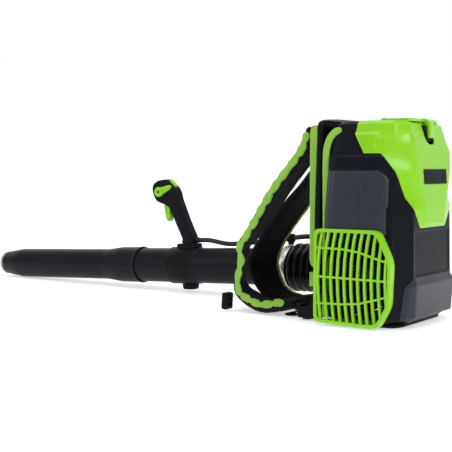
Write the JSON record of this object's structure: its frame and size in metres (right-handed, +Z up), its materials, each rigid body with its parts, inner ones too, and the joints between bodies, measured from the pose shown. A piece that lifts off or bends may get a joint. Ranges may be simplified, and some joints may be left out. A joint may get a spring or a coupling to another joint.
{
  "type": "backpack leaf blower",
  "caption": "Battery backpack leaf blower: fan unit with side intake grille on a padded shoulder harness, bellows hose, long blow tube and pistol control handle.",
  "frame": {"origin": "middle of the fan unit's footprint, on the underside of its base tray, which stands on the ground", "axes": "+Z up; the blow tube points to -X, the way the wearer faces; -Y is the wearer's left, the intake side"},
  "size_m": [1.5545, 0.3945, 0.4632],
  "materials": {
    "charcoal": "fine textured semi-matt",
    "panel_grey": "smooth semi-matt",
    "black_plastic": "matt moulded",
    "lime_plastic": "glossy",
    "tube_plastic": "satin",
    "tip_grey": "satin",
    "rubber": "semi-gloss",
    "steel": "brushed",
    "aluminium": "as cast",
    "contact_brass": "plain",
    "black_fabric": "woven",
    "green_mesh": "air mesh"
  },
  "bodies": {
    "fan_unit": {"housing_front": "charcoal", "housing_rear": "charcoal", "side_panel_left": "panel_grey", "side_panel_right": "panel_grey", "rear_lower_panel": "panel_grey", "battery_pack": "panel_grey", "latch_catch": "black_plastic", "badge_plate": "black_plastic", "fan_duct": "black_plastic", "stator": "black_plastic", "outlet_elbow": "black_plastic", "battery_bay": "black_plastic", "back_frame": "black_plastic", "base_tray": "black_plastic", "top_cap": "black_plastic", "left_adjuster": "black_plastic", "right_adjuster": "black_plastic", "chest_buckle": "black_plastic", "hood": "lime_plastic", "intake_grille": "lime_plastic", "front_left_foot": "rubber", "front_right_foot": "rubber", "front_bearing": "steel", "rear_bearing": "steel", "lid_hinge_pin": "steel", "rear_hose_clamp": "steel", "controller": "aluminium", "motor": "aluminium", "battery_terminals": "contact_brass", "back_pad": "black_fabric", "lumbar_pad": "black_fabric", "left_strap": "black_fabric", "right_strap": "black_fabric", "left_webbing": "black_fabric", "right_webbing": "black_fabric", "edge_trim": "green_mesh"},
    "rotor": {"impeller": "panel_grey", "motor_shaft": "steel"},
    "lid": {"battery_lid": "lime_plastic", "lid_latch_pin": "steel"},
    "latch": {"lid_latch": "lime_plastic"},
    "hose": {"bellows_hose": "rubber", "control_cable": "rubber"},
    "hose_cuff": {"front_hose_clamp": "steel", "cable_clip": "black_plastic"},
    "blow_tube": {"rear_tube": "tube_plastic", "mid_tube": "tube_plastic", "nozzle_tube": "tube_plastic", "nozzle_ring": "tip_grey", "handle_clamp_block": "black_plastic", "handle_base": "black_plastic", "handle_left_shell": "charcoal", "handle_right_shell": "charcoal", "trigger_pin": "steel", "trigger_switch": "black_plastic", "cable_gland": "rubber"},
    "trigger": {"trigger": "lime_plastic"},
    "thumb_button": {"thumb_button": "lime_plastic"},
    "cruise_lever": {"cruise_lever": "lime_plastic"}
  },
  "joints": [
    {"name": "fan_spin", "type": "hinge", "parent": "fan_unit", "child": "rotor", "pos_m": [0.02, 0, 0.112], "axis": [0, 1, 0], "continuous": true},
    {"name": "lid_hinge", "type": "hinge", "parent": "fan_unit", "child": "lid", "pos_m": [0.024, 0, 0.458], "axis": [0, -1, 0], "range_deg": [0, 100]},
    {"name": "lid_latch_hinge", "type": "hinge", "parent": "lid", "child": "latch", "pos_m": [0.1, 0, 0.4556], "axis": [0, -1, 0], "range_deg": [0, 25], "stiffness_Nm_per_rad": 0.2},
    {"name": "hose_yaw", "type": "hinge", "parent": "fan_unit", "child": "hose", "pos_m": [-0.14, 0.15, 0.0942], "axis": [0, 0, -1], "range_deg": [-2, 30], "deforming": ["bellows_hose", "control_cable"]},
    {"name": "hose_pitch", "type": "hinge", "parent": "hose", "child": "hose_cuff", "pos_m": [-0.275, 0.15, 0.0902], "axis": [0, 1, 0], "range_deg": [-20, 40], "deforming": ["bellows_hose", "control_cable"]},
    {"name": "tube_swivel", "type": "hinge", "parent": "hose_cuff", "child": "blow_tube", "pos_m": [-0.348, 0.15, 0.088], "axis": [-0.9991, 0, -0.0431], "range_deg": [-45, 45], "deforming": ["bellows_hose", "control_cable"]},
    {"name": "trigger_pull", "type": "hinge", "parent": "blow_tube", "child": "trigger", "pos_m": [-0.74748, 0.15, 0.25293], "axis": [0, -1, 0], "range_deg": [0, 12], "stiffness_Nm_per_rad": 0.3},
    {"name": "thumb_press", "type": "slide", "parent": "blow_tube", "child": "thumb_button", "axis": [-0.6619, 0, -0.7496], "range_m": [0, 0.003], "stiffness_N_per_m": 400},
    {"name": "cruise_turn", "type": "hinge", "parent": "blow_tube", "child": "cruise_lever", "pos_m": [-0.76676, 0.15, 0.28212], "axis": [0, 1, 0], "range_deg": [-30, 30]}
  ]
}
